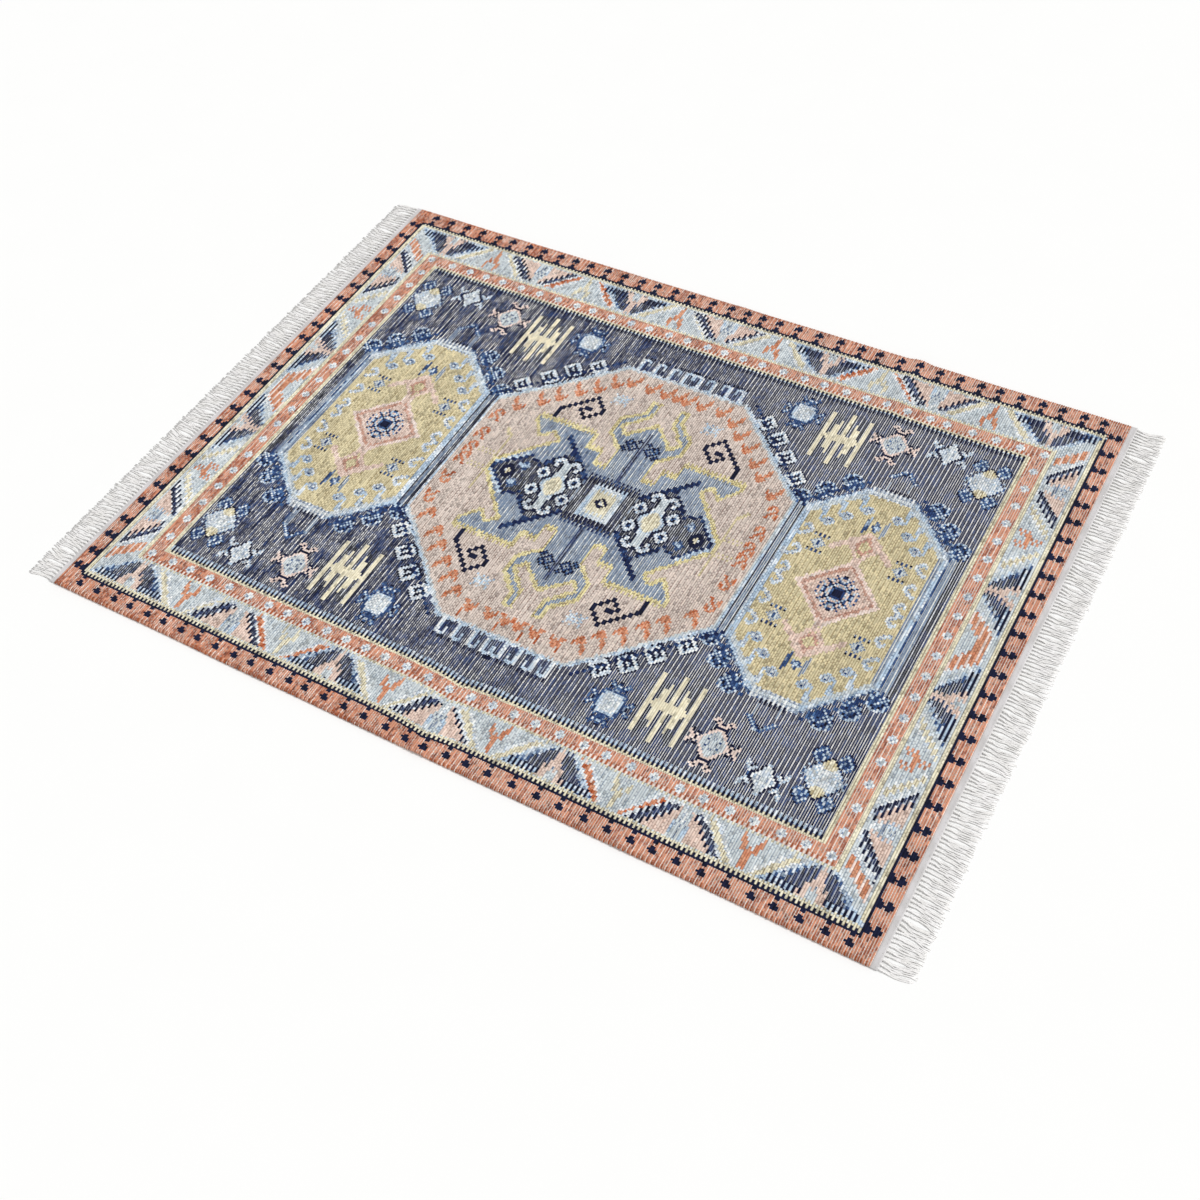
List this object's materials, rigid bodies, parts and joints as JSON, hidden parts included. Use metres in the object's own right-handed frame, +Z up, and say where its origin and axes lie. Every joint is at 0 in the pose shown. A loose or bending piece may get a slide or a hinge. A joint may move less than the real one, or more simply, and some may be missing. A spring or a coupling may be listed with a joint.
{
  "type": "kilim rug",
  "caption": "Flat-woven rectangular kilim rug with geometric medallions and borders, lying flat, with a fringed heading strip at each short end.",
  "frame": {"origin": "on the floor, under the middle of the rug", "axes": "+X along the rug's length towards the right-hand fringe, +Y across its width, +Z up out of its face"},
  "size_m": [1.7266, 1.2, 0.0093],
  "materials": {
    "woven_body": "matte flat weave of navy, blue, terracotta, blush and cream yarns",
    "fringe_cotton": "matte off-white cotton, woven tape and twisted strands"
  },
  "bodies": {
    "root": {"rug_body": "woven_body", "fringe_right": "fringe_cotton", "fringe_left": "fringe_cotton"}
  },
  "joints": []
}
